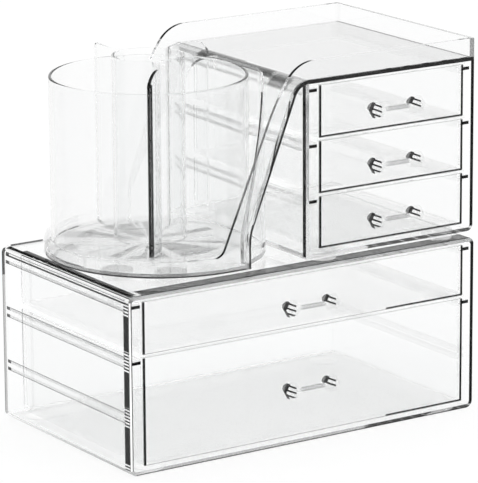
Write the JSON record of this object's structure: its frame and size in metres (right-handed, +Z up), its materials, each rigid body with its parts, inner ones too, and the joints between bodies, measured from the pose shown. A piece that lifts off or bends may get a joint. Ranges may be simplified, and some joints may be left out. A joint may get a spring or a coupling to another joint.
{
  "type": "make-up organizer",
  "caption": "Clear make-up organizer: a cabinet of wide drawers, a smaller drawer cabinet with a tray on top, and a turning brush cup with a divider.",
  "frame": {"origin": "middle of the footprint, at the height the pads stand on", "axes": "+X to the right, towards the small-drawer cabinet; -Y out of the drawer fronts; +Z up"},
  "size_m": [0.2412, 0.1498, 0.2246],
  "materials": {
    "cabinet_acrylic": "clear, polished",
    "drawer_acrylic": "clear, polished",
    "guard_acrylic": "clear, polished",
    "cup_acrylic": "clear, polished",
    "handle_acrylic": "clear, cut and polished",
    "turntable_acrylic": "clear, satin",
    "pad_rubber": "clear, satin"
  },
  "bodies": {
    "cabinets": {"base_case": "cabinet_acrylic", "base_back_panel": "cabinet_acrylic", "base_left_runners": "cabinet_acrylic", "base_right_runners": "cabinet_acrylic", "base_feet": "pad_rubber", "upper_case": "cabinet_acrylic", "upper_back_panel": "cabinet_acrylic", "upper_left_runners": "cabinet_acrylic", "upper_right_runners": "cabinet_acrylic", "upper_feet": "pad_rubber", "tray_and_guard": "guard_acrylic", "turntable_base": "turntable_acrylic", "pivot_pin": "turntable_acrylic", "pivot_washer": "turntable_acrylic"},
    "deep_drawer": {"deep_drawer": "drawer_acrylic", "deep_drawer_handle": "handle_acrylic"},
    "shallow_drawer": {"shallow_drawer": "drawer_acrylic", "shallow_drawer_handle": "handle_acrylic"},
    "lower_small_drawer": {"lower_small_drawer": "drawer_acrylic", "lower_small_handle": "handle_acrylic"},
    "middle_small_drawer": {"middle_small_drawer": "drawer_acrylic", "middle_small_handle": "handle_acrylic"},
    "upper_small_drawer": {"upper_small_drawer": "drawer_acrylic", "upper_small_handle": "handle_acrylic"},
    "ball_cage": {"turntable_cage": "turntable_acrylic", "turntable_balls": "turntable_acrylic"},
    "turning_cup": {"turntable_plate": "turntable_acrylic", "brush_cup": "cup_acrylic", "cup_divider": "cup_acrylic"}
  },
  "joints": [
    {"name": "deep_drawer_slide", "type": "slide", "parent": "cabinets", "child": "deep_drawer", "axis": [0, -1, 0], "range_m": [0, 0.1]},
    {"name": "shallow_drawer_slide", "type": "slide", "parent": "cabinets", "child": "shallow_drawer", "axis": [0, -1, 0], "range_m": [0, 0.1]},
    {"name": "lower_small_drawer_slide", "type": "slide", "parent": "cabinets", "child": "lower_small_drawer", "axis": [0, -1, 0], "range_m": [0, 0.1]},
    {"name": "middle_small_drawer_slide", "type": "slide", "parent": "cabinets", "child": "middle_small_drawer", "axis": [0, -1, 0], "range_m": [0, 0.1]},
    {"name": "upper_small_drawer_slide", "type": "slide", "parent": "cabinets", "child": "upper_small_drawer", "axis": [0, -1, 0], "range_m": [0, 0.1]},
    {"name": "cup_turn", "type": "hinge", "parent": "cabinets", "child": "turning_cup", "pos_m": [-0.06045, 0.0049, 0.1153], "axis": [0, 0, 1], "continuous": true},
    {"name": "cage_turn", "type": "hinge", "parent": "cabinets", "child": "ball_cage", "pos_m": [-0.06045, 0.0049, 0.1133], "axis": [0, 0, 1], "continuous": true}
  ],
  "couplings": [
    {"joint": "cage_turn", "follows": "cup_turn", "ratio": 0.5}
  ]
}
